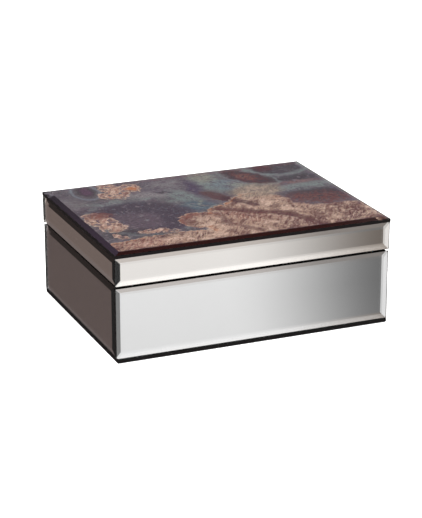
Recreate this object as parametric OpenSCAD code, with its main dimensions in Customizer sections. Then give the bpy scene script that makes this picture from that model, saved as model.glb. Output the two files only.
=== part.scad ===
// Vanity trinket box: bevelled mirror glass over a board carcass, with a hinged lid.
// Millimetres. The origin is the middle of the underside, -Y is the front, +Z is up.

/* [Box] */
// Width of the base across its glass
base_w = 250; // [180:1:320]
// Depth of the base across its glass
base_d = 188; // [140:1:240]
// Height of the closed box
box_h = 95.8; // [85:0.2:130]
// Height of the line where the lid meets the base, at the hinge pins
meet_z = 66.1; // [50:0.1:70]
// How far the lid stands out past the base on each side
lid_overhang = 0.5; // [0.3:0.1:0.8]

/* [Side mirrors] */
// Thickness of the mirror glass
mirror_t = 3; // [2.5:0.5:4]
// Width of the ground bevel around each mirror
bevel_w = 5; // [3:0.5:8]
// How far the bevel drops at the edge of the glass
bevel_drop = 1.2; // [1.1:0.1:1.8]
// How far each mirror stops short of the meeting line
mirror_gap = 1; // [0.9:0.1:1.5]
// Width of the black beads at the front corners of the base, beside its left and right mirrors
bead_w = 4; // [2:0.5:6]

/* [Top glass] */
// Thickness of the glass on the lid
top_t = 4; // [3:0.5:6]
// Width of the bevel around the top glass
top_bevel_w = 5.5; // [3:0.5:10]
// How far the top bevel drops at the edge
top_bevel_drop = 1.1; // [0.5:0.1:1.8]
// Thickness of the printed stone-pattern sheet that lies under the top glass
sheet_t = 0.2; // [0.1:0.05:0.25]

/* [Boards] */
// Thickness of the wall boards behind the mirrors
wall_t = 5; // [4.5:0.5:8]
// Thickness of the bottom board
bottom_t = 2.8; // [2:0.1:5]
// How far the bottom board is set in from the glass
bottom_inset = 0.5; // [0.5:0.5:6]
// Thickness of the board under the top glass
lid_board_t = 3; // [2:0.5:5]
// Gap between the rims of the base and the lid
rim_gap = 1.2; // [1:0.1:1.4]
// Glue line between the glass and what it is fixed to
glue_t = 0.1; // [0.05:0.05:0.2]

/* [Lining] */
// Thickness of the felt under the box
felt_t = 0.6; // [0.4:0.1:2]
// Thickness of the velvet-covered card on the walls
lining_t = 1.5; // [1:0.5:3]
// Thickness of the pad on the floor of the base
floor_pad_t = 5; // [3:0.5:10]
// Thickness of the pad inside the lid
lid_pad_t = 3; // [2:0.5:6]
// Diameter of a bumper dot on the front rim
bumper_d = 4; // [3:0.5:4.5]

/* [Hinges] */
// Distance of each hinge from the middle of the box
hinge_x = 75; // [40:1:80]
// Width of a hinge
hinge_w = 30; // [20:1:36]
// Number of knuckles along the pin
knuckles = 5; // [3, 5, 7]
// Outer radius of a knuckle
knuckle_r = 1.5; // [1.4:0.05:1.6]
// Radius of the hinge pin
pin_r = 0.7; // [0.5:0.05:0.8]
// Thickness of a leaf
leaf_t = 0.7; // [0.5:0.1:0.7]
// Outer radius of the heels that stop the lid
heel_r = 3.4; // [2.8:0.1:4]
// Angle through which the lid opens before the heels meet
open_angle = 95; // [92:1:100]

/* [Hidden] */
$fn = 64;

// Heights
floor_z = felt_t + bottom_t;           // top of the bottom board
mirror_z = floor_z + glue_t;           // lower edge of the base mirrors
base_rim_z = meet_z - rim_gap / 2;     // top of the base boards
lid_rim_z = meet_z + rim_gap / 2;      // bottom of the lid boards
top_glass_z = box_h - top_t;
air_film = 0.05;                       // between the top glass and the printed sheet
sheet_z = top_glass_z - air_film - sheet_t;
lid_board_z = sheet_z - lid_board_t;
strip_gap = 0.5;                       // dark line between lid mirrors and top glass
base_mirror_h = meet_z - mirror_gap - mirror_z;
lid_mirror_z = meet_z + mirror_gap;
lid_mirror_h = top_glass_z - strip_gap - lid_mirror_z;

// Plan sizes
lid_w = base_w + 2 * lid_overhang;
lid_d = base_d + 2 * lid_overhang;
skin = mirror_t + glue_t;              // mirror and glue outside the boards
base_core = [base_w - 2 * skin, base_d - 2 * skin];
lid_core = [lid_w - 2 * skin, lid_d - 2 * skin];
base_room = [base_core.x - 2 * wall_t, base_core.y - 2 * wall_t];
lid_room = [lid_core.x - 2 * wall_t, lid_core.y - 2 * wall_t];
lining_drop = 0.4;                     // linings stop this far short of the rim
pad_gap = 0.3;                         // room around a pad between its linings
felt_inset = 0.3;
sheet_inset = 0.7;                     // from the edge of the top glass

// Hinges
pin_y = base_d / 2 + 0.9;              // the pins run just behind the back mirrors
knuckle_gap = 0.2;
knuckle_l = (hinge_w - (knuckles - 1) * knuckle_gap) / knuckles;
knuckle_pitch = knuckle_l + knuckle_gap;
swing_gap = 0.3;                       // room around a turning knuckle
pin_gap = 0.05;                        // running clearance of the pin
pin_head_r = 1.1;
pin_head_t = 0.5;
leaf_gap = 0.5;                        // between the closed leaves
leaf_reach = 8.4;                      // from the pin to the inner edge of a leaf
leaf_corner_r = 1;
heel_free = 4;                         // degrees left between the heels at the stop
heel_from = (open_angle + heel_free) / 2;
heel_to = 88;
screw_y = -6.2;                        // screw line, from the pin
screw_pitch = 10;
screw_r = 0.7;
screw_head_r = 1.35;
screw_l = 8;
screw_gap = 0.05;
bumper_t = 0.9;
bumper_inset = 12;

// Colours
board_black = [0.06, 0.055, 0.055];
mirror_grey = [0.72, 0.73, 0.74];
velvet_black = [0.10, 0.09, 0.10];
agate = [0.50, 0.42, 0.42];
clear_green = [0.80, 0.86, 0.84, 0.35];
brass = [0.80, 0.64, 0.33];
clear_grey = [0.75, 0.75, 0.75];

// ---- shapes that repeat ----

// A block centred on the Z axis, standing on height z
module slab(size, z, h) {
    translate([-size.x / 2, -size.y / 2, z]) cube([size.x, size.y, h]);
}

// Cross-section of a bevelled pane: flat back on the x axis, bevelled face up
module pane_profile(l, t, w, drop) {
    polygon([[-l / 2, 0], [l / 2, 0], [l / 2, t - drop],
             [l / 2 - w, t], [w - l / 2, t], [-l / 2, t - drop]]);
}

// A pane lying on the XY plane, its back down, with all four edges bevelled
module bevelled_pane(l, h, t, w, drop) {
    intersection() {
        translate([-l / 2, 0, 0]) rotate([90, 0, 90])
            linear_extrude(l) pane_profile(h, t, w, drop);
        translate([0, h / 2, 0]) rotate([90, 0, 0])
            linear_extrude(h) pane_profile(l, t, w, drop);
    }
}

// A side mirror standing on height z, facing the way turn points (0 is the front)
module side_mirror(turn, face_at, l, z, h) {
    rotate([0, 0, turn]) translate([0, mirror_t - face_at, z + h / 2]) rotate([90, 0, 0])
        bevelled_pane(l, h, mirror_t, bevel_w, bevel_drop);
}

// A wall board or lining, its outer face at distance out in the direction turn
module wall_sheet(turn, out, l, t, z, h) {
    rotate([0, 0, turn]) translate([-l / 2, -out, z]) cube([l, t, h]);
}

// ---- hinges: drawn with the pin on the X axis and the leaf towards -Y ----

// Start of knuckle i along the pin
function knuckle_x(i) = i * knuckle_pitch - hinge_w / 2;

// The knuckles that belong to a leaf: the even ones to the base, the odd ones to the lid
function own(lid) = [for (i = [lid ? 1 : 0 : 2 : knuckles - 1]) i];

// Outline of a leaf, cut back around the other leaf's knuckles
module leaf_outline(lid) {
    difference() {
        translate([-hinge_w / 2, -leaf_reach]) square([hinge_w, leaf_reach]);
        for (i = own(!lid))
            translate([knuckle_x(i) - knuckle_gap - 0.01, -knuckle_r - swing_gap])
                square([knuckle_l + 2 * knuckle_gap + 0.02, knuckle_r + swing_gap + 1]);
        for (side = [-1, 1]) translate([side * hinge_w / 2, -leaf_reach]) rotate(45)
            square(leaf_corner_r, center = true);
    }
}

// Cross-section of a heel, from radius r_in outwards, above or below the pin
module heel_profile(up, r_in) {
    reach = 4 * heel_r;
    intersection() {
        difference() {
            circle(heel_r);
            circle(r_in);
        }
        polygon([[0, 0],
                 [reach * cos(heel_from), up * reach * sin(heel_from)],
                 [reach * cos(heel_to), up * reach * sin(heel_to)]]);
    }
}

// A prism along the pin, from x0, of length l
module along_pin(x0, l) {
    translate([x0, 0, 0]) rotate([90, 0, 90]) linear_extrude(l) children();
}

// Countersunk holes through a leaf, wide at the face that looks at the other leaf
module leaf_holes(up) {
    for (k = [-1, 0, 1]) translate([k * screw_pitch, screw_y, up * leaf_gap / 2])
        rotate([up > 0 ? 0 : 180, 0, 0]) {
            translate([0, 0, -0.01])
                cylinder(h = leaf_t + 0.02, r1 = screw_head_r + screw_gap + 0.01,
                         r2 = screw_r + screw_gap);
            cylinder(h = leaf_t + 1, r = screw_r + screw_gap);
        }
}

// One half of a stop hinge: leaf, knuckles and the heel that stops the lid
module hinge_half(lid) {
    up = lid ? 1 : -1;
    leaf_z = lid ? leaf_gap / 2 : -leaf_gap / 2 - leaf_t;
    difference() {
        union() {
            translate([0, 0, leaf_z]) linear_extrude(leaf_t) leaf_outline(lid);
            for (i = own(lid)) along_pin(knuckle_x(i), knuckle_l) {
                circle(knuckle_r);
                heel_profile(up, knuckle_r - 0.3);
            }
            along_pin(-hinge_w / 2, hinge_w) heel_profile(up, knuckle_r + swing_gap);
        }
        translate([-hinge_w, 0, 0]) rotate([0, 90, 0])
            cylinder(h = 2 * hinge_w, r = pin_r + pin_gap);
        leaf_holes(up);
    }
}

module hinge_pin() {
    translate([-hinge_w / 2 - pin_gap, 0, 0]) rotate([0, 90, 0]) {
        cylinder(h = hinge_w + 2 * pin_gap, r = pin_r);
        translate([0, 0, -pin_head_t]) cylinder(h = pin_head_t, r = pin_head_r);
        translate([0, 0, hinge_w + 2 * pin_gap]) cylinder(h = pin_head_t, r = pin_head_r);
    }
}

// A countersunk screw with its head at the origin and its point towards +Z
module wood_screw() {
    difference() {
        union() {
            cylinder(h = leaf_t, r1 = screw_head_r, r2 = screw_r);
            cylinder(h = screw_l - 1, r = screw_r);
            translate([0, 0, screw_l - 1]) cylinder(h = 1, r1 = screw_r, r2 = 0.2);
        }
        translate([-0.15, -2, -1]) cube([0.3, 4, 1.3]);
    }
}

module leaf_screws(up) {
    for (side = [-1, 1]) for (k = [-1, 0, 1])
        translate([side * hinge_x + k * screw_pitch, pin_y + screw_y,
                   meet_z + up * leaf_gap / 2])
            rotate([up > 0 ? 0 : 180, 0, 0]) wood_screw();
}

// What the hinges need cut out of a back board: a shallow seat and the screw holes
module hinge_seats(up) {
    for (side = [-1, 1]) {
        translate([side * hinge_x - hinge_w / 2 - screw_gap, pin_y - leaf_reach - screw_gap,
                   up > 0 ? meet_z : meet_z - leaf_gap / 2 - leaf_t])
            cube([hinge_w + 2 * screw_gap, leaf_reach, leaf_gap / 2 + leaf_t]);
        for (k = [-1, 0, 1])
            translate([side * hinge_x + k * screw_pitch, pin_y + screw_y,
                       meet_z + up * leaf_gap / 2])
                rotate([up > 0 ? 0 : 180, 0, 0])
                    cylinder(h = screw_l + 0.2, r = screw_r + screw_gap);
    }
}

module at_hinge(side) {
    translate([side * hinge_x, pin_y, meet_z]) children();
}

// ---- base ----

module underside_felt() {
    color(velvet_black)
        slab([base_w, base_d] - 2 * (bottom_inset + felt_inset) * [1, 1], 0, felt_t);
}

module bottom_board() {
    color(board_black) slab([base_w, base_d] - 2 * bottom_inset * [1, 1], felt_t, bottom_t);
}

module base_board(turn, out, l) {
    color(board_black) wall_sheet(turn, out, l, wall_t, floor_z, base_rim_z - floor_z);
}

module base_front_board() base_board(0, base_core.y / 2, base_core.x);
module base_back_board() {
    difference() {
        base_board(180, base_core.y / 2, base_core.x);
        hinge_seats(-1);
    }
}
module base_left_board() base_board(-90, base_core.x / 2, base_room.y);
module base_right_board() base_board(90, base_core.x / 2, base_room.y);

module base_mirror(turn, face_at, l) {
    color(mirror_grey) side_mirror(turn, face_at, l, mirror_z, base_mirror_h);
}

module base_front_mirror() base_mirror(0, base_d / 2, base_w);
module base_back_mirror() base_mirror(180, base_d / 2, base_w);

// The left and right mirrors start behind the beads
module base_side_mirror(turn) {
    translate([0, bead_w / 2, 0]) base_mirror(turn, base_w / 2, base_core.y - bead_w);
}

module base_left_mirror() base_side_mirror(-90);
module base_right_mirror() base_side_mirror(90);

module base_corner_beads() {
    bead = [skin - bevel_drop, bead_w - glue_t, base_mirror_h];
    color(board_black) for (side = [-1, 1])
        translate([side * (base_core.x + bead.x) / 2, (bead.y - base_core.y) / 2,
                   mirror_z + bead.z / 2])
            cube(bead, center = true);
}

module floor_pad() {
    color(velvet_black)
        slab(base_room - 2 * (lining_t + pad_gap) * [1, 1], floor_z, floor_pad_t);
}

module base_lining(turn, out, l) {
    color(velvet_black)
        wall_sheet(turn, out, l, lining_t, floor_z, base_rim_z - lining_drop - floor_z);
}

module base_front_lining() base_lining(0, base_room.y / 2, base_room.x);
module base_back_lining() base_lining(180, base_room.y / 2, base_room.x);
module base_left_lining() base_lining(-90, base_room.x / 2, base_room.y - 2 * lining_t);
module base_right_lining() base_lining(90, base_room.x / 2, base_room.y - 2 * lining_t);

module closing_bumpers() {
    color(clear_grey) for (side = [-1, 1])
        translate([side * (base_core.x / 2 - bumper_inset),
                   (wall_t - base_core.y) / 2, base_rim_z])
            cylinder(h = bumper_t, d = bumper_d);
}

module base_hinge_left() color(brass) at_hinge(-1) hinge_half(false);
module base_hinge_right() color(brass) at_hinge(1) hinge_half(false);
module hinge_pin_left() color(brass) at_hinge(-1) hinge_pin();
module hinge_pin_right() color(brass) at_hinge(1) hinge_pin();
module base_hinge_screws() color(brass) leaf_screws(-1);

// ---- lid ----

module lid_top_glass() {
    color(clear_green) translate([0, 0, top_glass_z])
        bevelled_pane(lid_w, lid_d, top_t, top_bevel_w, top_bevel_drop);
}

module agate_sheet() {
    color(agate) slab([lid_w, lid_d] - 2 * sheet_inset * [1, 1], sheet_z, sheet_t);
}

module lid_top_board() {
    color(board_black) slab(lid_core, lid_board_z, lid_board_t);
}

module lid_board(turn, out, l) {
    color(board_black) wall_sheet(turn, out, l, wall_t, lid_rim_z, lid_board_z - lid_rim_z);
}

module lid_front_board() lid_board(0, lid_core.y / 2, lid_core.x);
module lid_back_board() {
    difference() {
        lid_board(180, lid_core.y / 2, lid_core.x);
        hinge_seats(1);
    }
}
module lid_left_board() lid_board(-90, lid_core.x / 2, lid_room.y);
module lid_right_board() lid_board(90, lid_core.x / 2, lid_room.y);

module lid_mirror(turn, face_at, l) {
    color(mirror_grey) side_mirror(turn, face_at, l, lid_mirror_z, lid_mirror_h);
}

module lid_front_mirror() lid_mirror(0, lid_d / 2, lid_w);
module lid_back_mirror() lid_mirror(180, lid_d / 2, lid_w);
module lid_left_mirror() lid_mirror(-90, lid_w / 2, lid_core.y);
module lid_right_mirror() lid_mirror(90, lid_w / 2, lid_core.y);

module lid_pad() {
    color(velvet_black)
        slab(lid_room - 2 * (lining_t + pad_gap) * [1, 1], lid_board_z - lid_pad_t, lid_pad_t);
}

module lid_lining(turn, out, l) {
    z = lid_rim_z + lining_drop;
    color(velvet_black) wall_sheet(turn, out, l, lining_t, z, lid_board_z - z);
}

module lid_front_lining() lid_lining(0, lid_room.y / 2, lid_room.x);
module lid_back_lining() lid_lining(180, lid_room.y / 2, lid_room.x);
module lid_left_lining() lid_lining(-90, lid_room.x / 2, lid_room.y - 2 * lining_t);
module lid_right_lining() lid_lining(90, lid_room.x / 2, lid_room.y - 2 * lining_t);

module lid_hinge_left() color(brass) at_hinge(-1) hinge_half(true);
module lid_hinge_right() color(brass) at_hinge(1) hinge_half(true);
module lid_hinge_screws() color(brass) leaf_screws(1);

underside_felt();
bottom_board();
base_front_board();
base_back_board();
base_left_board();
base_right_board();
base_front_mirror();
base_back_mirror();
base_left_mirror();
base_right_mirror();
base_corner_beads();
floor_pad();
base_front_lining();
base_back_lining();
base_left_lining();
base_right_lining();
closing_bumpers();
base_hinge_left();
base_hinge_right();
hinge_pin_left();
hinge_pin_right();
base_hinge_screws();
lid_top_glass();
agate_sheet();
lid_top_board();
lid_front_board();
lid_back_board();
lid_left_board();
lid_right_board();
lid_front_mirror();
lid_back_mirror();
lid_left_mirror();
lid_right_mirror();
lid_pad();
lid_front_lining();
lid_back_lining();
lid_left_lining();
lid_right_lining();
lid_hinge_left();
lid_hinge_right();
lid_hinge_screws();
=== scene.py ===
# %% [markdown]
# # A mirrored trinket box
# The box is a carcass of thin black board. Bevelled strips of mirror are glued to its walls, and a
# bevelled pane of clear glass lies over a printed sheet of sliced agate on top of the lid. Two
# small brass hinges hold the lid along the back, and black velvet lines the inside. The packed
# model gives every piece's place. This script gives the glass, silver, stone, velvet and brass
# their looks, and makes the soft pieces.

# %% Load the packed model
import math

import bmesh
import bpy
from mathutils import Matrix, Vector


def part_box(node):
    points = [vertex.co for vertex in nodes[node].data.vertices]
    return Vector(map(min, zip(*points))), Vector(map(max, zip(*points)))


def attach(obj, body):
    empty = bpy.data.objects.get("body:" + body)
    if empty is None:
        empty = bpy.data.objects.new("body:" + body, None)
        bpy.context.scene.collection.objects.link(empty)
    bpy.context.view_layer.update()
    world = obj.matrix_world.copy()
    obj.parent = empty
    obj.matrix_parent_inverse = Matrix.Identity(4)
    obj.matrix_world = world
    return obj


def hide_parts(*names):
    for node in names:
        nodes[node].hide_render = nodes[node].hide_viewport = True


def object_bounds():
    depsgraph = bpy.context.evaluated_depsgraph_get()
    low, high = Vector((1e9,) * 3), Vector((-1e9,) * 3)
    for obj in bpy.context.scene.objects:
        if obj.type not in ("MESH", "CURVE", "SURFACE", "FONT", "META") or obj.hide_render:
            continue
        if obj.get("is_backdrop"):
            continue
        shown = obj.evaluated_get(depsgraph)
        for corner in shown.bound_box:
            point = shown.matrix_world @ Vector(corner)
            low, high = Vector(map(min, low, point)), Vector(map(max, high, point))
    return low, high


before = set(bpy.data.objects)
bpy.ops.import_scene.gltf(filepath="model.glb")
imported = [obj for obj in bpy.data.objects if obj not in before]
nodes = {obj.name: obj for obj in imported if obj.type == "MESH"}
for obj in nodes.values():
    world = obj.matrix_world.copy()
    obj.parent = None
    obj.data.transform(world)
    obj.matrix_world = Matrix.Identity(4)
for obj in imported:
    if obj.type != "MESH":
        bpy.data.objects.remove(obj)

cad_low, cad_high = (Vector(corner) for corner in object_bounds())
MM = 0.001
print("nodes:", len(nodes), "size in mm:", [round(v / MM, 1) for v in cad_high - cad_low])

# %% [markdown]
# ## Camera
# A long lens from nearly two metres away keeps the box's upright edges almost parallel, which is
# how small goods are usually shown. The camera is placed by a direction and a distance from the
# point it looks at, so each of them can be changed alone.

# %% Camera
VIEW_AZIMUTH = -22.83
VIEW_ELEVATION = 19.31
VIEW_DISTANCE = 1863.2 * MM
LOOK_AT = Vector((47.0, 115.6, 0.95)) * MM
LENS = 136.3


def direction(azimuth, elevation):
    """The unit vector from the object towards a viewer; azimuth 0 is straight in front."""
    a, e = math.radians(azimuth), math.radians(elevation)
    return Vector((math.sin(a) * math.cos(e), -math.cos(a) * math.cos(e), math.sin(e)))


def look_along(thing, place, target):
    """Moves a camera or lamp to place and turns it towards target."""
    thing.location = place
    thing.rotation_euler = (target - place).to_track_quat("-Z", "Y").to_euler()


camera = bpy.data.objects.new("camera", bpy.data.cameras.new("camera"))
bpy.context.scene.collection.objects.link(camera)
bpy.context.scene.camera = camera
camera.data.lens = LENS
camera.data.clip_end = 50
look_along(camera, LOOK_AT + VIEW_DISTANCE * direction(VIEW_AZIMUTH, VIEW_ELEVATION), LOOK_AT)
print("camera at", [round(v, 3) for v in camera.location])

# %% [markdown]
# ## A short way to build node trees
# Every finish below is a node tree. The class keeps each step to one call: a value that is a
# socket is linked, and a value that is a number or a colour is set on the socket itself.


# %% Node tree helper
class Graph:
    """Adds nodes to one tree."""

    def __init__(self, tree):
        self.tree = tree
        tree.nodes.clear()

    def add(self, kind, values=None, out=0, **settings):
        node = self.tree.nodes.new(kind)
        for name, setting in settings.items():
            setattr(node, name, setting)
        for key, value in (values or {}).items():
            if isinstance(value, bpy.types.NodeSocket):
                self.tree.links.new(value, node.inputs[key])
            else:
                node.inputs[key].default_value = value
        return node.outputs[out] if node.outputs else None

    def math(self, operation, *values):
        return self.add("ShaderNodeMath", dict(enumerate(values)), operation=operation)

    def vector(self, operation, *values, out=0):
        return self.add("ShaderNodeVectorMath", dict(enumerate(values)), out, operation=operation)

    def step(self, value, low, high, start=0.0, end=1.0):
        """Runs smoothly from start, where value is low, to end, where it is high."""
        values = {0: value, 1: low, 2: high, 3: start, 4: end}
        return self.add("ShaderNodeMapRange", values, interpolation_type="SMOOTHSTEP")

    def slope(self, value, low, high, start, end):
        """Runs straight from start to end and stays level outside them."""
        return self.add("ShaderNodeMapRange", {0: value, 1: low, 2: high, 3: start, 4: end})

    def mix(self, share, a, b):
        return self.add("ShaderNodeMix", {0: share, 6: a, 7: b}, 2, data_type="RGBA")

    def scaled(self, tint, factor):
        """A colour made brighter or darker by a factor."""
        values = {0: tint, "Scale": factor}
        return self.add("ShaderNodeVectorMath", values, operation="SCALE")

    def noise(self, at, scale, detail=2.0, roughness=0.5, out="Fac"):
        values = {"Vector": at, "Scale": scale, "Detail": detail, "Roughness": roughness}
        return self.add("ShaderNodeTexNoise", values, out)

    def bump(self, height, distance, strength=1.0):
        values = {"Height": height, "Distance": distance, "Strength": strength}
        return self.add("ShaderNodeBump", values)

    def object_mm(self, scale=(1, 1, 1)):
        """Object coordinates in millimetres, each axis scaled."""
        place = self.add("ShaderNodeTexCoord", out="Object")
        return self.vector("MULTIPLY", place, [s / MM for s in scale])

    def axis(self, vector, name):
        return self.add("ShaderNodeSeparateXYZ", {0: vector}, name)

    def surface(self, values):
        shader = self.add("ShaderNodeBsdfPrincipled", values)
        self.add("ShaderNodeOutputMaterial", {"Surface": shader})


print("graph steps:", [name for name in vars(Graph) if not name.startswith("_")])

# %% [markdown]
# ## Finishes
# A finish is a material with its own tree. Colours are written as hex numbers, as paint and web
# colours are, and have to be made linear, because the renderer adds light up in linear numbers.
# One call gives a finish to every packed node of a kind, found by the ending of its name.


# %% Colours and finishes
def colour(code):
    """A linear colour from a hex number."""
    parts = [(code >> shift & 255) / 255 for shift in (16, 8, 0)]
    linear = [p / 12.92 if p <= 0.04045 else ((p + 0.055) / 1.055) ** 2.4 for p in parts]
    return (*linear, 1.0)


def new_finish(name):
    material = bpy.data.materials.new(name)
    material.use_nodes = True
    return material, Graph(material.node_tree)


def finish_all(finish, *endings):
    """Gives one finish to every packed node whose name has one of the endings."""
    finished = [name for name in nodes if name.endswith(endings)]
    for name in finished:
        nodes[name].data.materials.clear()
        nodes[name].data.materials.append(finish)
    print(finish.name, "on", *finished)


print("mid grey is", [round(value, 3) for value in colour(0x808080)])

# %% [markdown]
# ## Floor
# A pale floor runs past the frame on all sides. It glows a little, so that it stays as white as
# the background. Mirrors would show it as a hard flat shape, so it is hidden from their rays.
# What they show instead is set by the card and the world further down.

# %% Floor
FLOOR_SIZE = 12
FLOOR_DROP = 0.3 * MM


def new_plane(name, width, height, finish):
    """A flat stage piece on the XY plane, centred on the origin."""
    mesh = bmesh.new()
    bmesh.ops.create_grid(mesh, x_segments=1, y_segments=1, size=0.5)
    bmesh.ops.scale(mesh, verts=mesh.verts, vec=(width, height, 1))
    plane = bpy.data.objects.new(name, bpy.data.meshes.new(name))
    mesh.to_mesh(plane.data)
    mesh.free()
    bpy.context.scene.collection.objects.link(plane)
    plane.data.materials.append(finish)
    plane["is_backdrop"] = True
    return plane


floor_paint, g = new_finish("floor_paint")
tone = g.mix(g.noise(g.object_mm(), 0.02), (0.90, 0.90, 0.90, 1), (0.92, 0.92, 0.92, 1))
g.surface({"Base Color": tone, "Roughness": 0.9, "Specular IOR Level": 0.1,
           "Emission Color": (1, 1, 1, 1), "Emission Strength": 0.35})
floor = new_plane("floor", FLOOR_SIZE, FLOOR_SIZE, floor_paint)
floor.location.z = cad_low.z - FLOOR_DROP
floor.visible_glossy = False
floor.visible_transmission = False
print("floor:", FLOOR_SIZE, "m wide")

# %% [markdown]
# ## Lamps
# There is one broad lamp overhead and one from the front left. A broad lamp gives soft shadows, as
# a studio's light boxes do, and the mirrors don't show either of them.


# %% Lamps
def soft_lamp(name, azimuth, elevation, distance, size, watts):
    """A square lamp aimed at the box, which the mirrors don't show."""
    lamp = bpy.data.objects.new(name, bpy.data.lights.new(name, "AREA"))
    lamp.data.shape = "SQUARE"
    lamp.data.size = size
    lamp.data.energy = watts
    lamp.visible_glossy = False
    lamp.visible_transmission = False
    bpy.context.scene.collection.objects.link(lamp)
    middle = (cad_low + cad_high) / 2
    look_along(lamp, middle + distance * direction(azimuth, elevation), middle)


soft_lamp("overhead_lamp", -30, 75, 2.4, 2.2, 60)
soft_lamp("front_lamp", -60, 35, 2.6, 1.6, 24)
print("lamps:", len(bpy.data.lights))

# %% [markdown]
# ## A card for the mirrors
# A mirror is lit by what it faces. In a studio a card stands in front of mirrored goods, and
# its edge fades across the glass. This one is white and fades to dark grey towards the right. It
# is a real plane and not a painted background, because each bevel looks past the main face at
# another part of the card. Only the rays of mirrors and glass see it. Its numbers are in
# millimetres, except for its own four edges.

# %% Front card
CARD_AWAY = 902            # mm from the front of the box
CARD_LEFT, CARD_RIGHT = -2.0, 1.3
CARD_LOW, CARD_TOP = -1.2, 0.3
CARD_FULL = 0.93           # brightness at the height of the table
CARD_FALL = 0.45           # how much brightness is lost per metre further down
CARD_DIM = 0.155           # what is left past the fade
DIM_RISE = 0.15            # how much brighter the dim part is near the height of the table
DIM_END = 0.08             # how much comes back at its right end
CARD_LIFT = 0.13           # how much brighter the card's top is, where the lid's lower bevels look
FADE_MIDDLE = 488
FADE_HALF = 130
FADE_SLANT = 0.25          # how far the fade moves right per mm below FADE_KNEE
FADE_KNEE = -330
WHITE = (1, 1, 1, 1)
PAPER_WARM = (1, 0.92, 0.87, 1)
SHADE_WARM = (1, 0.88, 0.79, 1)
print("front card:", CARD_AWAY, "mm in front, fading at x =", FADE_MIDDLE, "mm")


# %% Its shine and its place
def mirrors_only(card, place):
    """Stands a card in place, where only mirrors and glass show it."""
    card.data.transform(place)
    card.visible_camera = False
    card.visible_diffuse = False
    card.visible_shadow = False


def glow(graph, tint):
    """Gives a card a plain shine of its own, so no lamp has to light it."""
    shine = graph.add("ShaderNodeEmission", {"Color": tint, "Strength": 1.0})
    graph.add("ShaderNodeOutputMaterial", {"Surface": shine})


card_white, g = new_finish("card_white")
card_white.cycles.emission_sampling = "NONE"
place = g.object_mm()
card_x, card_z = g.axis(place, "X"), g.axis(place, "Z")
slant = g.math("MULTIPLY", g.math("MAXIMUM", g.math("SUBTRACT", FADE_KNEE, card_z), 0), FADE_SLANT)
across = g.math("SUBTRACT", card_x, slant)
fade = g.step(across, FADE_MIDDLE - FADE_HALF, FADE_MIDDLE + FADE_HALF, 1.0, 0.0)
full = g.slope(card_z, -1000, 0, CARD_FULL - CARD_FALL, CARD_FULL)
full = g.math("ADD", full, g.step(card_z, -75, -35, 0.0, CARD_LIFT))
dim = g.math("ADD", CARD_DIM, g.step(card_z, -200, -100, 0.0, DIM_RISE))
dim = g.math("ADD", dim, g.step(card_x, 620, 700, 0.0, DIM_END))
paper = g.mix(g.step(card_z, -850, -350), PAPER_WARM, WHITE)
shade = g.mix(g.step(card_z, -305, -270), paper, SHADE_WARM)
glow(g, g.mix(fade, g.scaled(shade, dim), g.scaled(paper, full)))

front_card = new_plane("front_card", CARD_RIGHT - CARD_LEFT, CARD_TOP - CARD_LOW, card_white)
stand = Matrix.Rotation(math.radians(90), 4, "X")
card_y = cad_low.y - CARD_AWAY * MM
middle = Vector(((CARD_LEFT + CARD_RIGHT) / 2, card_y, (CARD_LOW + CARD_TOP) / 2))
mirrors_only(front_card, Matrix.Translation(middle) @ stand)
print("front card stands at y =", round(card_y, 3), "m")

# %% [markdown]
# ## The room around
# Past the card the mirrors show the world: a bright ceiling that lights the print through its
# glass, grey walls, a dim table, and a dark patch behind the box, so that glare doesn't wash out
# the glossy lid. A patch is a round area of the world with a soft edge. Its place is an azimuth,
# in degrees anticlockwise from +X, and a height above the horizon.

# %% World
CEILING = (2.95, 2.91, 2.90, 1)
WALLS = (0.42, 0.41, 0.405, 1)
TABLE = (0.200, 0.188, 0.185, 1)
WORLD_PATCHES = (
    # azimuth, height, half width that is full, half width where it ends, colour
    (67, 22, 11, 24, (0.150, 0.138, 0.155, 1)),
    (77, 28, 3, 7, (0.300, 0.210, 0.310, 1)),
    (62, 38, 3, 8, (0.300, 0.100, 0.095, 1)),
    (0, 90, 15, 28, (0.400, 0.395, 0.390, 1)),
    (118, 3, 16, 27, (0.200, 0.170, 0.165, 1)),
    (108, -22, 14, 26, (0.165, 0.130, 0.120, 1)),
    (40, -24, 10, 24, (0.60, 0.59, 0.58, 1)),
    (178, -20, 10, 28, (0.50, 0.50, 0.50, 1)),
    (-140, -20, 10, 26, (0.62, 0.62, 0.62, 1)),
    (-12, -20, 10, 26, (0.45, 0.45, 0.46, 1)),
)
world = bpy.data.worlds.new("room")
bpy.context.scene.world = world
world.use_nodes = True
g = Graph(world.node_tree)
ray = g.add("ShaderNodeTexCoord", out="Generated")
height = g.axis(ray, "Z")
shown = g.mix(g.step(height, -0.07, 0.12), TABLE, WALLS)
shown = g.mix(g.step(height, 0.45, 0.80), shown, CEILING)
for azimuth, rise, full_within, ends_at, tint in WORLD_PATCHES:
    nearness = g.vector("DOT_PRODUCT", ray, direction(azimuth + 90, rise), out="Value")
    limits = math.cos(math.radians(ends_at)), math.cos(math.radians(full_within))
    shown = g.mix(g.step(nearness, *limits), shown, tint)
background = g.add("ShaderNodeBackground", {"Color": shown, "Strength": 1.0})
g.add("ShaderNodeOutputWorld", {"Surface": background})

bpy.context.scene.view_settings.view_transform = "Standard"
bpy.context.scene.view_settings.look = "None"
print("world patches:", len(WORLD_PATCHES))

# %% [markdown]
# ## Mirror glass
# A mirror is three things: a clear slab, silver on its flat back, and a black finish on its cut
# edges. One shiny metal on the bevelled shape would be simpler, but the light has to bend on
# its way in and out for a ground bevel to look right: the bevels show a shifted picture of the
# room, or go black where the light can't get back out. So the slab is real glass, and its faces
# are sorted by which way they look.

# %% Glass
GLASS_IOR = 1.52

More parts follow.
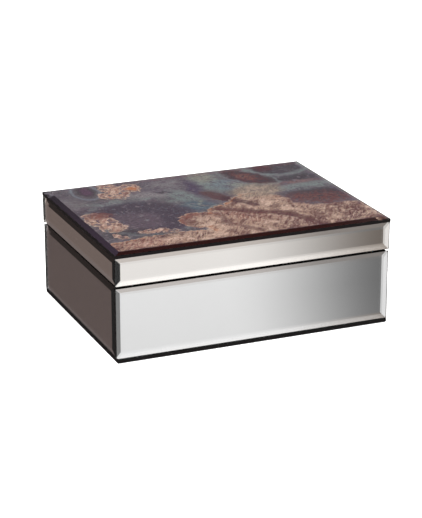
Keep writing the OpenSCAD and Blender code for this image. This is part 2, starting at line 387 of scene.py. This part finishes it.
clear_glass, g = new_finish("clear_glass")
place = g.object_mm()
smears = g.noise(place, 0.035, 4, 0.6)
haze = g.step(smears, 0.45, 0.75, 0.0, 0.012)
tint = g.mix(g.noise(place, 0.02), (0.982, 0.983, 0.982, 1), (0.987, 0.988, 0.987, 1))
g.surface({"Base Color": tint, "Roughness": haze, "IOR": GLASS_IOR,
           "Transmission Weight": 1.0})

edge_black, g = new_finish("edge_black")
speck = g.noise(g.object_mm(), 1.5, 3, 0.6)
tone = g.mix(speck, (0.003, 0.0025, 0.0025, 1), (0.008, 0.006, 0.006, 1))
g.surface({"Base Color": tone, "Roughness": g.step(speck, 0.3, 0.7, 0.5, 0.7),
           "Specular IOR Level": 0.1})
print("finishes so far:", len(bpy.data.materials))

# %% [markdown]
# ## Silver
# The silver is a nearly smooth metal, a little warmer on the lid. The base's left mirror has a
# darker silver than the rest: painted shade, which darkens what that mirror shows. The left bevel
# of the lid's front mirror has near-black behind it in place of silver, a painted dark reflection,
# out to the mitres where it meets the bevels above and below.


# %% Silver
BEVEL = 5
# Near-black painted behind one bevel as a dark reflection.
PAINTED_DARK_BEVEL = (0.012, 0.011, 0.011, 1)


def new_silver(name, dull, bright):
    finish, graph = new_finish(name)
    place = graph.object_mm()
    cloud = graph.noise(place, 0.05, 5, 0.6)
    tone = graph.mix(cloud, dull, bright)
    rough = graph.step(cloud, 0.3, 0.7, 0.008, 0.016)
    return finish, graph, {"Base Color": tone, "Metallic": 1.0, "Roughness": rough}


def painted_dark_bevel_mask(graph, node):
    """1 behind the bevel at a mirror's left end, as far as the mitres with its other bevels: where
    near-black is painted in as a dark reflection.
    """
    low, high = (corner / MM for corner in map(Vector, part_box(node)))
    place = graph.object_mm()
    height = graph.axis(place, "Z")
    from_bottom = graph.math("SUBTRACT", height, low.z)
    from_top = graph.math("SUBTRACT", high.z, height)
    reach = graph.math("MINIMUM", BEVEL, graph.math("MINIMUM", from_bottom, from_top))
    from_end = graph.math("SUBTRACT", graph.axis(place, "X"), low.x)
    return graph.step(graph.math("SUBTRACT", from_end, reach), -0.3, 0.3, 1.0, 0.0)


LID_SILVER = (0.97, 0.935, 0.90, 1), (0.99, 0.955, 0.92, 1)
LEFT_SILVER_PAINTED_SHADE = (0.61, 0.59, 0.60, 1), (0.65, 0.63, 0.64, 1)
base_silver, g, values = new_silver("base_silver", (0.95, 0.95, 0.95, 1), (0.98, 0.98, 0.98, 1))
g.surface(values)
# Painted shade: the base's left mirror gets a darker copy of the silver.
base_left_silver_painted_shade, g, values = new_silver("base_left_silver_painted_shade", *LEFT_SILVER_PAINTED_SHADE)
g.surface(values)
lid_silver, g, values = new_silver("lid_silver", *LID_SILVER)
g.surface(values)
lid_front_silver, g, values = new_silver("lid_front_silver", *LID_SILVER)
# Painted dark reflection: the left bevel of the lid's front mirror gets near-black in place of
# silver.
bare_spots_and_dark_bevel = painted_dark_bevel_mask(g, "lid_front_mirror")
values["Base Color"] = g.mix(bare_spots_and_dark_bevel, values["Base Color"], PAINTED_DARK_BEVEL)
g.surface(values)
print("silver finishes:", base_silver.name, base_left_silver_painted_shade.name, lid_silver.name,
      lid_front_silver.name)

# %% [markdown]
# ## Sort the faces of the glass
# A slab's faces are told apart by their normals. A face that looks into the box is the back, one
# at right angles to that is a cut edge, and what is left is the front face with its bevels. So no
# face has to be picked by hand, and a changed slab is sorted again by itself.


# %% Sorted faces
LOOKS_BACK = 0.99          # the least cosine between a back face's normal and the inward way
LOOKS_ASIDE = 0.01         # the greatest one for a cut edge
CLEAR, EDGE, BACK = range(3)


def finish_glass(node, back, back_finish):
    """Clear on the face and the bevels, black on the cut edges, back_finish on the back."""
    mesh = nodes[node].data
    mesh.materials.clear()
    for finish in (clear_glass, edge_black, back_finish):
        mesh.materials.append(finish)
    counts = [0, 0, 0]
    for face in mesh.polygons:
        towards_back = face.normal.dot(back)
        kind = BACK if towards_back > LOOKS_BACK else CLEAR
        if abs(towards_back) < LOOKS_ASIDE:
            kind = EDGE
        face.material_index = kind
        counts[kind] += 1
    print(node, "faces: clear", counts[CLEAR], "edge", counts[EDGE], "back", counts[BACK])


INWARD = {"front": (0, 1, 0), "back": (0, -1, 0), "left": (1, 0, 0), "right": (-1, 0, 0)}
for side, inward in INWARD.items():
    base_backing = base_left_silver_painted_shade if side == "left" else base_silver
    finish_glass(f"base_{side}_mirror", Vector(inward), base_backing)
    lid_backing = lid_front_silver if side == "front" else lid_silver
    finish_glass(f"lid_{side}_mirror", Vector(inward), lid_backing)
finish_glass("lid_top_glass", Vector((0, 0, -1)), clear_glass)

# %% [markdown]
# ## The stone print
# The sheet under the lid's glass is printed with a slice of agate. Agate grows in rounded fronts
# around cavities, so the picture is laid down like a painting: a cloudy ground, then ovals and
# strokes over one another, from the back to the front. All of them are drawn on coordinates that
# noise has bent, which makes their edges wander as the stone's do. An oval gives its own distance,
# 1 at its edge and less inside, and from that come fills, rims and bands.

# %% Inks
SLATE = colour(0x746D77)
SLATE_WARM = colour(0x665F62)
MIST = colour(0xA0979A)
PLUM = colour(0x564560)
EYE = colour(0x63405A)
RING = colour(0x8A93A0)
TEAL = colour(0x8F9A99)
TEAL_BLUE = colour(0x8295A0)
GREY_GREEN = colour(0xA9A796)
POOL = colour(0x4E6574)
NIGHT = colour(0x3B3038)
NAVY = colour(0x463648)
DOME = colour(0x54414F)
DOME_LIGHT = colour(0x685762)
CREAM = colour(0xF8D6BD)
SAND = colour(0xC89F8A)
PINK = colour(0xC98E80)
ORANGE = colour(0xD9874F)
TAN = colour(0xAE8670)
EARTH = colour(0x6C4036)
WINE = colour(0x4A1D26)
NUT = colour(0x612E2E)
RUST = colour(0x99584B)

print_finish, g = new_finish("agate_print")
flat_mm = g.object_mm((1, 1, 0))


def bent(at, scale, reach, detail=2.0):
    """Moves the coordinates about by up to half of reach."""
    push = g.vector("SUBTRACT", g.noise(at, scale, detail, out="Color"), (0.5, 0.5, 0.5))
    return g.vector("ADD", at, g.vector("MULTIPLY", push, (reach, reach, 0)))


smooth = bent(flat_mm, 0.035, 10)
stone = bent(smooth, 0.14, 9, 4)
ragged = bent(stone, 0.32, 8, 5)
print("inks and coordinates:", len(g.tree.nodes), "nodes")

# %% [markdown]
# Two kinds of shape are enough for the whole picture: an oval, and a stroke through a few points.
# Each gives a distance, so two shapes are joined by taking the lesser distance, where stacking
# two fills would show a seam.


# %% Shapes
def oval(at, middle, half, turn=0.0):
    """The distance from an oval's middle, 1 at its edge."""
    values = {"Vector": at, "Location": (*middle, 0), "Scale": (*half, 1),
              "Rotation": (0, 0, math.radians(turn))}
    local = g.add("ShaderNodeMapping", values, vector_type="TEXTURE")
    return g.vector("LENGTH", local, out="Value")


def nearest(distances):
    """The least of several distances: the distance of their joined shape."""
    found = distances[0]
    for distance in distances[1:]:
        found = g.math("MINIMUM", found, distance)
    return found


def stroke(at, points, half):
    """The distance from a line through points, 1 at half its width."""
    pieces = []
    for start, end in zip(points, points[1:]):
        run = Vector(end) - Vector(start)
        along = g.vector("SUBTRACT", at, (*start, 0))
        share = g.vector("DOT_PRODUCT", along, (*(run / run.length_squared), 0), out="Value")
        share = g.add("ShaderNodeClamp", {0: share})
        foot = g.add("ShaderNodeVectorMath", {0: (*run, 0), "Scale": share}, operation="SCALE")
        pieces.append(g.vector("DISTANCE", along, foot, out="Value"))
    return g.math("DIVIDE", nearest(pieces), half)


print("shapes:", oval.__name__, stroke.__name__)

# %% [markdown]
# A shape is laid as a fill or as a line along its edge, softer or harder. Noise breaks fills and
# lines up, since an even edge would look drawn, and noise alone lays the mottling.


# %% Ways to lay ink
def inside(distance, soft=0.1):
    return g.step(distance, 1 - soft, 1 + soft, 1.0, 0.0)


def band(distance, middle, half):
    """1 along the line where distance is middle, fading over half on either side."""
    off = g.math("ABSOLUTE", g.math("SUBTRACT", distance, middle))
    return g.step(off, 0.0, half, 1.0, 0.0)


def lay(under, over, share, strength=1.0):
    return g.mix(g.math("MULTIPLY", share, strength), under, over)


def lay_ovals(under, ovals):
    for _, tint, middle, half, turn, soft, strength in ovals:
        under = lay(under, tint, inside(oval(stone, middle, half, turn), soft), strength)
    print("ovals of ink:", *(row[0] for row in ovals))
    return under


def broken(share, scale, low=0.40, high=0.58):
    """Keeps a rim or a band only here and there."""
    return g.math("MULTIPLY", share, g.step(g.noise(ragged, scale, 3), low, high))


def mottle(under, over, scale, low, high, strength):
    """Lays ink where a noise runs from low to high."""
    return lay(under, over, g.step(g.noise(stone, scale, 5, 0.7), low, high), strength)


print("ways to lay ink:", *(way.__name__ for way in (inside, band, broken, mottle)))

# %% [markdown]
# The dark half is smooth and banded: slate and teal at the back, a dark dome at the left with a
# paler one inside it, a blue pool beside the dome and dark bands at the right. Each row of the
# table is one soft oval of ink, and they are laid in order.

# %% The dark half
DARK_OVALS = (
    # what it is, ink, middle, half sizes, turn in degrees, softness of the edge, strength
    ("back_slate", SLATE, (-30, 72), (52, 22), 0, 0.5, 0.5),
    ("light_mist", MIST, (-38, 48), (26, 9), -12, 0.7, 0.95),
    ("back_mist", MIST, (-14, 74), (14, 16), 0, 0.8, 0.6),
    ("left_mist", MIST, (-112, 44), (12, 20), 10, 0.7, 0.35),
    ("left_teal", TEAL, (-80, 38), (24, 6), -8, 0.7, 0.5),
    ("back_teal", TEAL, (22, 62), (14, 30), -6, 0.6, 0.95),
    ("grey_green", GREY_GREEN, (22, 80), (11, 15), 0, 0.8, 0.8),
    ("blue_swirl", TEAL_BLUE, (37, 50), (14, 16), 25, 0.6, 0.85),
    ("nut_grey", GREY_GREEN, (52, 44), (18, 9), -20, 0.8, 0.8),
    ("middle_teal", TEAL, (-14, 32), (12, 20), 14, 0.6, 0.95),
    ("purple_streak", PLUM, (3, 52), (6, 24), -8, 0.6, 0.95),
    ("dark_fleck", NIGHT, (-27, 51), (9, 3.5), -24, 0.6, 0.9),
    ("corner_night", NIGHT, (100, 86), (30, 28), 0, 0.2, 0.75),
    ("right_night", NIGHT, (100, 47), (32, 9), 2, 0.6, 0.85),
    ("right_pink", PINK, (94, 34), (22, 4), 0, 0.7, 0.4),
    ("right_teal", TEAL, (99, 21), (30, 9), 0, 0.5, 0.9),
    ("pool", POOL, (-14, 4), (15, 14), 0, 0.5, 0.9),
    ("dome_left", DOME, (-94, 24), (28, 8), -6, 0.5, 0.85),
    ("dome_outer", NAVY, (-66, -7), (43, 42), 0, 0.14, 0.85),
    ("dome_inner", DOME_LIGHT, (-84, -20), (32, 32), -10, 0.16, 0.95),
    ("dome_core", NAVY, (-42, -18), (13, 28), -12, 0.5, 0.75),
    ("front_core", NAVY, (-58, -46), (30, 9), 0, 0.6, 0.9),
    ("left_core", NIGHT, (-98, -44), (20, 13), 0, 0.6, 0.75),
    ("left_navy", NAVY, (-100, 14), (18, 11), 0, 0.8, 0.6),
    ("right_core", NIGHT, (106, -10), (26, 15), 0, 0.8, 0.55),
)
ground = g.step(g.noise(stone, 0.03, 4, 0.6), 0.35, 0.62)
paint = g.mix(ground, SLATE, SLATE_WARM)
paint = mottle(paint, MIST, 0.05, 0.48, 0.70, 0.7)
paint = lay_ovals(paint, DARK_OVALS)
dome_rim = oval(stone, (-66, -7), (43, 42))
paint = lay(paint, TEAL, broken(band(dome_rim, 1.16, 0.15), 0.09), 0.6)
paint = mottle(paint, DOME, 0.10, 0.50, 0.64, 0.7)
paint = mottle(paint, NAVY, 0.22, 0.54, 0.66, 0.8)
paint = mottle(paint, MIST, 0.17, 0.54, 0.68, 0.7)
paint = mottle(paint, TEAL_BLUE, 0.3, 0.56, 0.68, 0.5)
paint = lay(paint, TEAL_BLUE, broken(band(oval(stone, (-7, 1), (8, 7)), 1.0, 0.5), 0.2), 0.8)
paint = lay(paint, GREY_GREEN, broken(band(oval(stone, (0, 8), (9, 10)), 1.0, 0.3), 0.2), 0.6)
corner_rim = oval(stone, (97, 91), (29, 32))
paint = lay(paint, TEAL, broken(band(corner_rim, 1.0, 0.2), 0.08, 0.3, 0.5), 0.8)
paint = lay(paint, WINE, inside(oval(stone, (85, 84), (9, 10)), 0.5), 0.8)
paint = lay(paint, NUT, broken(inside(oval(stone, (85, 84), (7, 8)), 0.5), 0.3), 0.7)
print("dark half:", len(DARK_OVALS), "ovals")

# %% [markdown]
# The eye is a dark oval with a pale ring at the back left, and the nut is a brown one at the back
# right. Both are small pictures of their own: rings and fills of the same kind, laid from the
# outside inwards.

# %% The eye and the nut
paint = lay(paint, SLATE_WARM, inside(oval(smooth, (-91, 76), (15, 22), -6), 0.3), 0.5)
paint = lay(paint, RING, band(oval(smooth, (-91, 76), (12.5, 20), -6), 1.0, 0.2), 0.75)
paint = lay(paint, NIGHT, inside(oval(stone, (-90, 79), (8.5, 14), -6), 0.3), 0.85)
paint = lay(paint, EYE, inside(oval(stone, (-90, 78), (5, 9), -6), 0.6), 0.9)

nut = oval(stone, (62, 65), (12, 26), 29)
paint = lay(paint, TEAL, band(nut, 1.28, 0.2), 0.6)
paint = lay(paint, NIGHT, inside(nut, 0.15), 0.9)
paint = lay(paint, NUT, broken(inside(nut, 0.4), 0.18, 0.35, 0.55), 0.8)
paint = lay(paint, RUST, broken(inside(oval(stone, (60, 66), (7, 14), 29), 0.4), 0.35), 0.55)
paint = lay(paint, TAN, broken(inside(oval(stone, (58, 68), (5, 9), 29), 0.4), 0.5, 0.56, 0.64), 0.6)
print("so far:", len(g.tree.nodes), "nodes")

# %% [markdown]
# The pale half is crystalline. It is full of short flecks that all lean the same way, so the fleck
# noise is drawn on coordinates that are turned and then stretched. Broad soft fields of ink go
# down first, and then the flecks: dark ones in clumps, and light ones in the bare places between.

# %% Crystal
LEAN = math.radians(58)
STRETCH = 4.0              # how many times longer than wide a fleck is
PALE_FIELDS = (
    # what it is, ink, middle, half sizes, turn in degrees, softness of the edge, strength
    ("lobe_cream", CREAM, (-30, -45), (21, 28), 0, 0.6, 0.9),
    ("strip_pink", PINK, (-96, -70), (32, 14), 0, 0.6, 0.7),
    ("strip_cream", CREAM, (-42, -74), (26, 16), 0, 0.6, 0.8),
    ("arc_brown", RUST, (24, -42), (36, 14), -34, 0.6, 0.6),
    ("arc_cream", CREAM, (16, -74), (24, 12), -20, 0.6, 0.55),
    ("arc_end", NUT, (50, -76), (20, 26), 20, 0.6, 0.85),
    ("diagonal_cream", CREAM, (50, -18), (48, 15), -44, 0.6, 0.85),
    ("corner_red", NUT, (106, -60), (38, 38), 0, 0.9, 0.75),
    ("corner_wine", WINE, (110, -78), (30, 20), 0, 0.9, 0.75),
)


def flecks(under, over, scale, low, high, strength, where=1.0):
    """Lays ink in short marks along the lean of the crystal."""
    values = {"Vector": smooth, "Rotation": (0, 0, LEAN), "Scale": (STRETCH, 1, 1)}
    leaning = g.add("ShaderNodeMapping", values, vector_type="TEXTURE")
    marks = g.step(g.noise(leaning, scale, 3, 0.6), low, high)
    return lay(under, over, g.math("MULTIPLY", marks, where), strength)


crystal = g.mix(g.step(g.noise(stone, 0.06, 4, 0.65), 0.38, 0.62), SAND, TAN)
crystal = lay_ovals(crystal, PALE_FIELDS)
clumps = g.step(g.noise(stone, 0.075, 4, 0.65), 0.36, 0.62)
bare_spots_and_dark_bevel = g.math("SUBTRACT", 1.0, clumps)
crystal = flecks(crystal, EARTH, 0.06, 0.48, 0.58, 0.6)
crystal = flecks(crystal, CREAM, 0.10, 0.52, 0.60, 0.55)
crystal = flecks(crystal, EARTH, 0.20, 0.47, 0.57, 0.85, clumps)
crystal = flecks(crystal, CREAM, 0.28, 0.47, 0.56, 0.85, bare_spots_and_dark_bevel)
crystal = flecks(crystal, NUT, 0.38, 0.50, 0.60, 0.80, clumps)
crystal = flecks(crystal, SAND, 0.50, 0.50, 0.57, 0.55)
crystal = flecks(crystal, CREAM, 0.62, 0.53, 0.60, 0.8, bare_spots_and_dark_bevel)
crystal = flecks(crystal, WINE, 0.72, 0.54, 0.61, 0.85, clumps)
print("crystal:", len(g.tree.nodes), "nodes")

# %% [markdown]
# The crystal fills the joined shape of six ragged ovals, and a greyer mix of it runs on towards
# the back. Four dark strokes cross it, each one a line through a few points.

# %% The pale half
LOBE = ((-25, -34), (20, 21), 0)
PALE_FRONT = (
    # middle, half sizes, turn in degrees
    LOBE,
    ((8, -20), (19, 17), 0),
    ((38, -22), (31, 42), -8),
    ((34, -60), (62, 46), 0),
    ((94, -77), (62, 45), 0),
    ((-74, -83), (66, 25), 2),
)
DARK_STROKES = (
    # ink, half width, softness, strength, points
    (NUT, 8.0, 0.5, 0.80, ((10, 32), (15, 17), (20, 10))),
    (WINE, 4.5, 0.6, 0.80, ((18, 14), (27, 0), (38, -13))),
    (NUT, 5.5, 0.6, 0.85, ((0, -12), (21, -26), (48, -42), (60, -62), (66, -86))),
    (NUT, 3.5, 0.8, 0.65, ((-5, -22), (-8, -47), (10, -78))),
)
pale = nearest([oval(ragged, *shape) for shape in PALE_FRONT])
paint = lay(paint, crystal, inside(pale, 0.03))
grey_crystal = g.mix(0.45, crystal, GREY_GREEN)
paint = lay(paint, grey_crystal, inside(oval(ragged, (52, 24), (24, 17), 12), 0.35), 0.9)
paint = lay(paint, NIGHT, inside(oval(ragged, (101, -6), (33, 16), -16), 0.3), 0.75)
paint = lay(paint, NUT, broken(inside(oval(ragged, (97, -12), (31, 18), -16), 0.5), 0.16), 0.75)
paint = lay(paint, RUST, broken(inside(oval(ragged, (95, -14), (28, 15), -16), 0.5), 0.4), 0.6)
for tint, half, soft, strength, points in DARK_STROKES:
    streak = inside(stroke(ragged, points, half), soft)
    paint = lay(paint, tint, broken(streak, 0.3, 0.15, 0.45), strength)
print("pale half:", len(PALE_FRONT), "ovals and", len(DARK_STROKES), "strokes")

# %% [markdown]
# The pale half's edge has a fine cream outline and an orange rim, both broken here and there and
# gone towards the right. The round lobe at its left end has a red-brown crescent inside its edge:
# one oval with a smaller one taken out of it.

# %% The edge of the pale half
RIM_GONE, RIM_WHOLE = 60, 15
on_left = g.step(g.axis(flat_mm, "X"), RIM_GONE, RIM_WHOLE)
crescent = inside(oval(ragged, *LOBE), 0.05)
hollow = inside(oval(stone, (-18, -42), (19, 20)), 0.3)
crescent = g.math("MULTIPLY", crescent, g.math("SUBTRACT", 1.0, hollow))
paint = lay(paint, NUT, crescent, 0.6)
paint = lay(paint, RUST, broken(crescent, 0.12), 0.7)
rim = g.math("MULTIPLY", broken(band(pale, 0.95, 0.05), 0.10, 0.3, 0.5), on_left)
paint = lay(paint, ORANGE, rim, 0.55)
outline = g.math("MULTIPLY", broken(band(pale, 1.0, 0.04), 0.15, 0.3, 0.45), on_left)
paint = lay(paint, CREAM, outline, 0.7)
print("so far:", len(g.tree.nodes), "nodes")

# %% [markdown]
# Patches of the same crystal lie in the dark half, in two ragged groups along the left and one at
# the back. They are cream with pink, red and brown inside, and the back one has an orange spot.

# %% Pale patches in the dark half
PATCHES = (
    # middle, half sizes, turn in degrees
    ((-66, 72), (9, 26), 6),
    ((-50, 75), (11, 12), 0),
    ((-74, 60), (8, 11), 30),
    ((-106, -4), (12, 22), 10),
    ((-102, -24), (11, 13), 25),
    ((-73, -46), (13, 5), -8),
    ((-60, -52), (7, 4), -20),
    ((-106, -46), (4, 5), 0),
    ((-103, -53), (4, 4), 0),
)
patches = nearest([oval(ragged, *shape) for shape in PATCHES])
filled = broken(inside(patches, 0.15), 0.2, 0.38, 0.48)
paint = lay(paint, flecks(SAND, CREAM, 0.30, 0.46, 0.56, 0.9), filled)
paint = lay(paint, PINK, broken(filled, 0.22, 0.5, 0.62), 0.7)
paint = lay(paint, NUT, broken(band(patches, 0.85, 0.25), 0.20, 0.40, 0.55), 0.65)
paint = lay(paint, WINE, broken(filled, 0.42, 0.56, 0.66), 0.7)
paint = lay(paint, CREAM, broken(band(patches, 1.0, 0.12), 0.2, 0.35, 0.5), 0.8)
paint = lay(paint, ORANGE, inside(oval(stone, (-48, 72), (5, 6)), 0.5), 0.9)
brown_spot = inside(oval(stone, (-103, 9), (12, 8), -10), 0.5)
paint = lay(paint, NUT, brown_spot, 0.6)
paint = lay(paint, RUST, broken(brown_spot, 0.25), 0.7)
paint = lay(paint, NIGHT, broken(inside(oval(ragged, (-68, -59), (15, 7)), 0.6), 0.3), 0.8)
print("patches:", len(PATCHES))

# %% [markdown]
# Last come the grain of the print, which makes every ink a little lighter and darker from dot to
# dot, and painted shade in dark red along the front edge, where the glass's front bevel looks
# dark. The sheet has no gloss, because the glass over it has that already.

# %% Grain of the print and painted shade along its front
BEVEL_SHADE_STARTS, BEVEL_SHADE_FULL = -83.5, -85.5
dots = g.step(g.noise(flat_mm, 0.45, 5, 0.75), 0.28, 0.72, 0.66, 1.34)
paint = g.scaled(paint, dots)
# Painted shade: dark red along the print's front edge, where the front bevel of the glass looks
# dark.
front_bevel_shade = g.step(g.axis(flat_mm, "Y"), BEVEL_SHADE_STARTS, BEVEL_SHADE_FULL)
paint = lay(paint, WINE, front_bevel_shade, 0.85)
g.surface({"Base Color": paint, "Roughness": 0.6, "Specular IOR Level": 0.0})
print("stone print:", len(g.tree.nodes), "nodes")

finish_all(print_finish, "agate_sheet")

# %% [markdown]
# ## Black board
# The carcass is fibreboard painted black before the mirrors go on. It shows as thin dark lines at
# the rims and under the glass, so its finish is a satin black with the faint orange-peel of a
# sprayed coat.

# %% Board finish
black_paint, g = new_finish("black_paint")
place = g.object_mm()
speck = g.noise(place, 1.2, 3, 0.6)
tone = g.mix(speck, (0.003, 0.0025, 0.0025, 1), (0.007, 0.006, 0.006, 1))
g.surface({"Base Color": tone, "Roughness": g.step(speck, 0.3, 0.7, 0.5, 0.66),
           "Specular IOR Level": 0.1, "Normal": g.bump(g.noise(place, 2.5, 2), 0.03 * MM)})
finish_all(black_paint, "_board", "_beads")

# %% [markdown]
# ## Brass
# The hinge leaves are stamped from rolled sheet, so their brass has a faint grain along the pin;
# the pins and screw heads are turned and brighter.

# %% Brass finishes
rolled_brass, g = new_finish("rolled_brass")
grain = g.noise(g.object_mm((0.3, 4, 4)), 1.0, 4, 0.6)
tone = g.mix(grain, colour(0xC6B086), colour(0xDCC9A0))
g.surface({"Base Color": tone, "Metallic": 1.0,
           "Roughness": g.step(grain, 0.3, 0.7, 0.24, 0.36),
           "Normal": g.bump(grain, 0.01 * MM)})

turned_brass, g = new_finish("turned_brass")
wear = g.noise(g.object_mm(), 1.5, 4, 0.6)
tone = g.mix(wear, colour(0xC4AA74), colour(0xE2CE9C))
g.surface({"Base Color": tone, "Metallic": 1.0,
           "Roughness": g.step(wear, 0.3, 0.7, 0.16, 0.3)})

finish_all(rolled_brass, "hinge_left", "hinge_right")
finish_all(turned_brass, "pin_left", "pin_right", "_screws")

# %% [markdown]
# ## Velvet and felt
# Velvet is dark where it is seen straight on and pale at a grazing angle, because its pile stands
# up: that is the sheen lobe. The pile also leans in patches, which the noise turns into slightly
# lighter and darker areas. Felt is pressed flat, so it has less sheen and a coarser fibre.

# %% Fabric finishes
velvet, g = new_finish("black_velvet")
place = g.object_mm()
lean = g.noise(place, 0.06, 4, 0.65)
pile = g.noise(place, 4.0, 3, 0.7)
tone = g.mix(g.step(lean, 0.3, 0.7), (0.010, 0.008, 0.010, 1), (0.024, 0.019, 0.023, 1))
tone = g.mix(g.step(pile, 0.4, 0.8, 0.0, 0.5), tone, (0.045, 0.038, 0.044, 1))
g.surface({"Base Color": tone, "Roughness": 0.9, "Specular IOR Level": 0.1,
           "Sheen Weight": 0.6, "Sheen Roughness": 0.35, "Sheen Tint": (0.55, 0.5, 0.56, 1),
           "Normal": g.bump(pile, 0.15 * MM)})

felt, g = new_finish("black_felt")
place = g.object_mm()
fibre = g.noise(g.vector("ADD", place, g.noise(place, 0.9, 3, out="Color")), 1.4, 5, 0.75)
tone = g.mix(g.step(fibre, 0.3, 0.7), (0.008, 0.008, 0.008, 1), (0.035, 0.033, 0.033, 1))
g.surface({"Base Color": tone, "Roughness": 0.95, "Specular IOR Level": 0.1,
           "Sheen Weight": 0.25, "Sheen Roughness": 0.5, "Normal": g.bump(fibre, 0.2 * MM)})
finish_all(felt, "underside_felt")

# %% [markdown]
# ## Velvet linings
# Each wall has a strip of card wrapped in velvet and pushed into place. The wrap rounds every edge
# that shows, so a strip is a box with its edges bevelled into soft curves, kept a hair smaller
# than the space it fills.

# %% Wall linings
LINING_ROUND = 0.6 * MM
FIT = Vector((0.05, 0.05, 0.05)) * MM


def new_piece(name, source, finish, body, slot_name, *replaced):
    """Turns a bmesh into a piece that rides on a body and stands for packed nodes."""
    piece = bpy.data.objects.new(name, bpy.data.meshes.new(name))
    bpy.context.scene.collection.objects.link(piece)
    source.to_mesh(piece.data)
    source.free()
    piece.data.materials.append(finish)
    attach(piece, body)
    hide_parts(*replaced)
    return piece


def block(low, high):
    """A bmesh box from its two corners."""
    mesh = bmesh.new()
    bmesh.ops.create_cube(mesh, size=1)
    bmesh.ops.scale(mesh, verts=mesh.verts, vec=high - low)
    bmesh.ops.translate(mesh, verts=mesh.verts, vec=(low + high) / 2)
    return mesh


def smooth_faces(piece):
    for face in piece.data.polygons:
        face.use_smooth = True


for part in ("base", "lid"):
    for side in INWARD:
        node = f"{part}_{side}_lining"
        low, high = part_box(node)
        mesh = block(low + FIT, high - FIT)
        bmesh.ops.bevel(mesh, geom=mesh.edges[:], offset=LINING_ROUND, affect="EDGES",
                        segments=4, profile=0.5, material=-1)
        strip = new_piece(f"{part}_{side}_velvet", mesh, velvet, part, "velvet", node)
        smooth_faces(strip)
        print(strip.name, "has", len(strip.data.polygons), "faces")

# %% [markdown]
# ## Velvet pads
# The floor of the base and the ceiling of the lid each have a pad: card and thin foam wrapped in
# velvet. Foam under stretched cloth crowns in the middle and pulls down to a rounded edge. A cloth
# simulation gives that: a slab slightly smaller than its space is blown up by a little pressure,
# while its flat back, which is glued down, is held still. The swelling is capped, so that the pad
# stays in its space.

# %% Slabs for the pads
PAD_CELL = 4 * MM
PAD_FLAT = 0.55            # the share of a pad's thickness that it starts with
PAD_INSET = 0.4 * MM
PAD_PRESSURE = 4
PAD_FRAMES = 20
HELD = "glued_back"


def pad_slab(low, high):
    """A closed slab of even cells, its back face at z = 0 and its front at the starting height."""
    size = high - low - Vector((2 * PAD_INSET, 2 * PAD_INSET, 0))
    mesh = bmesh.new()
    cells = [max(4, round(length / PAD_CELL)) for length in size[:2]]
    bmesh.ops.create_grid(mesh, x_segments=cells[0], y_segments=cells[1], size=0.5)
    bmesh.ops.scale(mesh, verts=mesh.verts, vec=(size.x, size.y, 1))
    front = bmesh.ops.extrude_face_region(mesh, geom=mesh.faces[:])
    raised = [part for part in front["geom"] if isinstance(part, bmesh.types.BMVert)]
    bmesh.ops.translate(mesh, verts=raised, vec=(0, 0, size.z * PAD_FLAT))
    bmesh.ops.recalc_face_normals(mesh, faces=mesh.faces)
    return mesh


print("a pad starts at", PAD_FLAT, "of its height, in cells of", round(PAD_CELL / MM), "mm")


# %% Swelling
def swell(piece, cap):
    """Blows the piece up with its back held, and moves no point further than cap."""
    held = piece.vertex_groups.new(name=HELD)
    held.add([v.index for v in piece.data.vertices if v.co.z < 0.01 * MM], 1.0, "REPLACE")
    start = [v.co.copy() for v in piece.data.vertices]
    cloth = piece.modifiers.new("swelling", "CLOTH")
    cloth.settings.use_pressure = True
    cloth.settings.uniform_pressure_force = PAD_PRESSURE
    cloth.settings.vertex_group_mass = HELD
    cloth.settings.effector_weights.gravity = 0
    cloth.point_cache.frame_start = 1
    cloth.point_cache.frame_end = PAD_FRAMES
    scene = bpy.context.scene
    for frame_number in range(1, PAD_FRAMES + 1):
        scene.frame_set(frame_number)
    swollen = piece.evaluated_get(bpy.context.evaluated_depsgraph_get())
    ends = [v.co.copy() for v in swollen.to_mesh().vertices]
    swollen.to_mesh_clear()
    piece.modifiers.remove(cloth)
    scene.frame_set(1)
    for vertex, before, after in zip(piece.data.vertices, start, ends):
        move = after - before
        if move.length > cap:
            move *= cap / move.length
        vertex.co = before + move
    print(piece.name, "swollen, with", len(ends), "points")


# %% The two pads
for part, node in (("base", "floor_pad"), ("lid", "lid_pad")):
    low, high = map(Vector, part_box(node))
    pad = new_piece(f"{part}_velvet_pad", pad_slab(low, high), velvet, part, "velvet", node)
    swell(pad, (high.z - low.z) * (1 - PAD_FLAT))
    tallest = max(v.co.z for v in pad.data.vertices)
    heights = [round(height / MM, 2) for height in (tallest, high.z - low.z)]
    print(pad.name, "is", heights[0], "mm high, its space", heights[1])
    faces_down = Matrix.Rotation(math.pi if part == "lid" else 0, 4, "X")
    back = high.z if part == "lid" else low.z
    middle = Matrix.Translation(((low.x + high.x) / 2, (low.y + high.y) / 2, back))
    pad.data.transform(middle @ faces_down)
    smooth_faces(pad)
    finer = pad.modifiers.new("finer", "SUBSURF")
    finer.levels = 1
    finer.render_levels = 1

# %% [markdown]
# ## Bumpers
# Two dots of clear soft rubber on the front rim take the lid's weight and keep glass off glass.
# Rubber like this is cloudy, so a little light goes into it and comes out again beside.

# %% Bumpers
soft_rubber, g = new_finish("soft_rubber")
cloud = g.noise(g.object_mm(), 0.8, 3)
tone = g.mix(cloud, (0.34, 0.34, 0.33, 1), (0.44, 0.44, 0.42, 1))
g.surface({"Base Color": tone, "Roughness": 0.35, "Subsurface Weight": 0.4,
           "Subsurface Scale": 0.8 * MM})
finish_all(soft_rubber, "closing_bumpers")

# %% [markdown]
# ## Sizes
# The visual model's box is printed in millimetres before the scene is finished. The visual model
# has to stay inside the packed model's box.

# %% Sizes and finish
low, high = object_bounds()
print("sizes in mm:", [[round(v / MM, 2) for v in c] for c in (low, high)])
